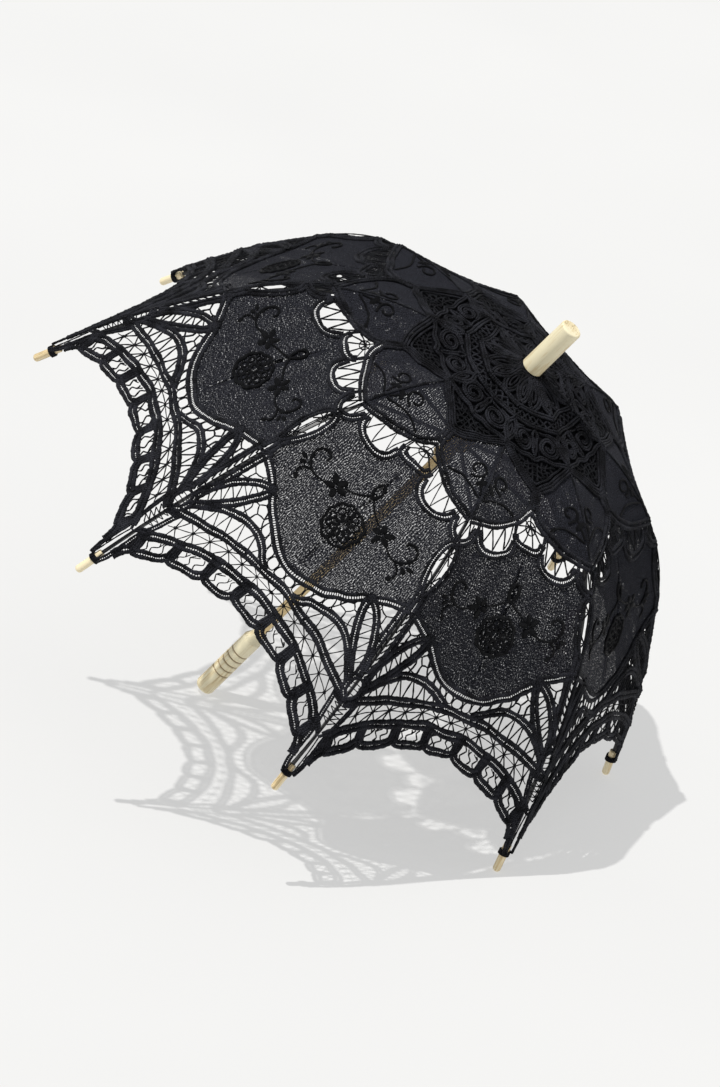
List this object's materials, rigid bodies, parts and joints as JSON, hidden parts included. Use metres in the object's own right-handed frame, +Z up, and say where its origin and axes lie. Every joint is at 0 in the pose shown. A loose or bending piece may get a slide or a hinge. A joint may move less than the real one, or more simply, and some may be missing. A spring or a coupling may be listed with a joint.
{
  "type": "lace parasol",
  "caption": "Open lace parasol on a turned wooden stick, resting on its rib tips and handle; black tape lace and embroidered cotton canopy, folding steel ribs, stretchers and sliding runner.",
  "frame": {"origin": "centre of the bounding box on the ground plane that the handle's end and two rib tips rest on", "axes": "+Z up from the ground, the shaft leans from the handle towards -Y, +X along the pair of front rib tips"},
  "size_m": [0.7462, 0.6622, 0.5633],
  "materials": {
    "turned_wood": "pale turned wood, thin clear varnish, fine grain",
    "shaft_wood": "pale wooden dowel, thin clear varnish",
    "hub_wood": "pale turned wood, bare",
    "rib_steel": "fluted steel with a thin black enamel",
    "wire": "drawn steel wire",
    "spring": "blued spring steel",
    "lace": "black cotton tape lace and open weave cotton with embroidery"
  },
  "bodies": {
    "stick": {"shaft": "shaft_wood", "ferrule": "turned_wood", "handle": "turned_wood", "crown": "hub_wood", "crown_wire": "wire", "stop_pin": "wire", "catch_spring": "spring"},
    "runner": {"runner": "hub_wood"},
    "rib_1": {"rib_1": "rib_steel", "rib_pin_1": "wire", "tip_1": "turned_wood", "gore_1": "lace"},
    "stretcher_1": {"stretcher_1": "rib_steel", "foot_pin_1": "wire"},
    "rib_2": {"rib_2": "rib_steel", "rib_pin_2": "wire", "tip_2": "turned_wood", "gore_2": "lace"},
    "stretcher_2": {"stretcher_2": "rib_steel", "foot_pin_2": "wire"},
    "rib_3": {"rib_3": "rib_steel", "rib_pin_3": "wire", "tip_3": "turned_wood", "gore_3": "lace"},
    "stretcher_3": {"stretcher_3": "rib_steel", "foot_pin_3": "wire"},
    "rib_4": {"rib_4": "rib_steel", "rib_pin_4": "wire", "tip_4": "turned_wood", "gore_4": "lace"},
    "stretcher_4": {"stretcher_4": "rib_steel", "foot_pin_4": "wire"},
    "rib_5": {"rib_5": "rib_steel", "rib_pin_5": "wire", "tip_5": "turned_wood", "gore_5": "lace"},
    "stretcher_5": {"stretcher_5": "rib_steel", "foot_pin_5": "wire"},
    "rib_6": {"rib_6": "rib_steel", "rib_pin_6": "wire", "tip_6": "turned_wood", "gore_6": "lace"},
    "stretcher_6": {"stretcher_6": "rib_steel", "foot_pin_6": "wire"},
    "rib_7": {"rib_7": "rib_steel", "rib_pin_7": "wire", "tip_7": "turned_wood", "gore_7": "lace"},
    "stretcher_7": {"stretcher_7": "rib_steel", "foot_pin_7": "wire"},
    "rib_8": {"rib_8": "rib_steel", "rib_pin_8": "wire", "tip_8": "turned_wood", "gore_8": "lace"},
    "stretcher_8": {"stretcher_8": "rib_steel", "foot_pin_8": "wire"}
  },
  "joints": [
    {"name": "runner_slide", "type": "slide", "parent": "stick", "child": "runner", "axis": [0, 0.5177, -0.8556], "range_m": [0, 0.2421], "deforming": ["catch_spring"]},
    {"name": "rib_1_hinge", "type": "hinge", "parent": "stick", "child": "rib_1", "pos_m": [0.01201, -0.16434, 0.49489], "axis": [-0.3827, 0.7905, 0.4782], "range_deg": [-0.5, 46.5], "deforming": ["gore_1"]},
    {"name": "stretcher_1_hinge", "type": "hinge", "parent": "rib_1", "child": "stretcher_1", "pos_m": [0.1894, -0.07252, 0.48506], "axis": [0.3827, -0.7905, -0.4782], "range_deg": [-1, 93]},
    {"name": "rib_2_hinge", "type": "hinge", "parent": "stick", "child": "rib_2", "pos_m": [0.00498, -0.15832, 0.49853], "axis": [-0.9239, 0.3274, 0.1981], "range_deg": [-0.5, 46.5], "deforming": ["gore_2"]},
    {"name": "stretcher_2_hinge", "type": "hinge", "parent": "rib_2", "child": "stretcher_2", "pos_m": [0.07845, 0.0224, 0.54249], "axis": [0.9239, -0.3274, -0.1981], "range_deg": [-1, 93]},
    {"name": "rib_3_hinge", "type": "hinge", "parent": "stick", "child": "rib_3", "pos_m": [-0.00498, -0.15832, 0.49853], "axis": [-0.9239, -0.3274, -0.1981], "range_deg": [-0.5, 46.5], "deforming": ["gore_3"]},
    {"name": "stretcher_3_hinge", "type": "hinge", "parent": "rib_3", "child": "stretcher_3", "pos_m": [-0.07845, 0.0224, 0.54249], "axis": [0.9239, 0.3274, 0.1981], "range_deg": [-1, 93]},
    {"name": "rib_4_hinge", "type": "hinge", "parent": "stick", "child": "rib_4", "pos_m": [-0.01201, -0.16434, 0.49489], "axis": [-0.3827, -0.7905, -0.4782], "range_deg": [-0.5, 46.5], "deforming": ["gore_4"]},
    {"name": "stretcher_4_hinge", "type": "hinge", "parent": "rib_4", "child": "stretcher_4", "pos_m": [-0.1894, -0.07252, 0.48506], "axis": [0.3827, 0.7905, 0.4782], "range_deg": [-1, 93]},
    {"name": "rib_5_hinge", "type": "hinge", "parent": "stick", "child": "rib_5", "pos_m": [-0.01201, -0.17286, 0.48974], "axis": [0.3827, -0.7905, -0.4782], "range_deg": [-0.5, 46.5], "deforming": ["gore_5"]},
    {"name": "stretcher_5_hinge", "type": "hinge", "parent": "rib_5", "child": "stretcher_5", "pos_m": [-0.1894, -0.20676, 0.40384], "axis": [-0.3827, 0.7905, 0.4782], "range_deg": [-1, 93]},
    {"name": "rib_6_hinge", "type": "hinge", "parent": "stick", "child": "rib_6", "pos_m": [-0.00498, -0.17888, 0.4861], "axis": [0.9239, -0.3274, -0.1981], "range_deg": [-0.5, 46.5], "deforming": ["gore_6"]},
    {"name": "stretcher_6_hinge", "type": "hinge", "parent": "rib_6", "child": "stretcher_6", "pos_m": [-0.07845, -0.30169, 0.34641], "axis": [-0.9239, 0.3274, 0.1981], "range_deg": [-1, 93]},
    {"name": "rib_7_hinge", "type": "hinge", "parent": "stick", "child": "rib_7", "pos_m": [0.00498, -0.17888, 0.4861], "axis": [0.9239, 0.3274, 0.1981], "range_deg": [-0.5, 46.5], "deforming": ["gore_7"]},
    {"name": "stretcher_7_hinge", "type": "hinge", "parent": "rib_7", "child": "stretcher_7", "pos_m": [0.07845, -0.30169, 0.34641], "axis": [-0.9239, -0.3274, -0.1981], "range_deg": [-1, 93]},
    {"name": "rib_8_hinge", "type": "hinge", "parent": "stick", "child": "rib_8", "pos_m": [0.01201, -0.17286, 0.48974], "axis": [0.3827, 0.7905, 0.4782], "range_deg": [-0.5, 46.5], "deforming": ["gore_8"]},
    {"name": "stretcher_8_hinge", "type": "hinge", "parent": "rib_8", "child": "stretcher_8", "pos_m": [0.1894, -0.20676, 0.40384], "axis": [-0.3827, -0.7905, -0.4782], "range_deg": [-1, 93]}
  ],
  "couplings": [
    {"joint": "rib_1_hinge", "follows": "runner_slide", "rad_per_m": 3.3162},
    {"joint": "stretcher_1_hinge", "follows": "runner_slide", "rad_per_m": 6.6324},
    {"joint": "rib_2_hinge", "follows": "runner_slide", "rad_per_m": 3.3162},
    {"joint": "stretcher_2_hinge", "follows": "runner_slide", "rad_per_m": 6.6324},
    {"joint": "rib_3_hinge", "follows": "runner_slide", "rad_per_m": 3.3162},
    {"joint": "stretcher_3_hinge", "follows": "runner_slide", "rad_per_m": 6.6324},
    {"joint": "rib_4_hinge", "follows": "runner_slide", "rad_per_m": 3.3162},
    {"joint": "stretcher_4_hinge", "follows": "runner_slide", "rad_per_m": 6.6324},
    {"joint": "rib_5_hinge", "follows": "runner_slide", "rad_per_m": 3.3162},
    {"joint": "stretcher_5_hinge", "follows": "runner_slide", "rad_per_m": 6.6324},
    {"joint": "rib_6_hinge", "follows": "runner_slide", "rad_per_m": 3.3162},
    {"joint": "stretcher_6_hinge", "follows": "runner_slide", "rad_per_m": 6.6324},
    {"joint": "rib_7_hinge", "follows": "runner_slide", "rad_per_m": 3.3162},
    {"joint": "stretcher_7_hinge", "follows": "runner_slide", "rad_per_m": 6.6324},
    {"joint": "rib_8_hinge", "follows": "runner_slide", "rad_per_m": 3.3162},
    {"joint": "stretcher_8_hinge", "follows": "runner_slide", "rad_per_m": 6.6324}
  ]
}
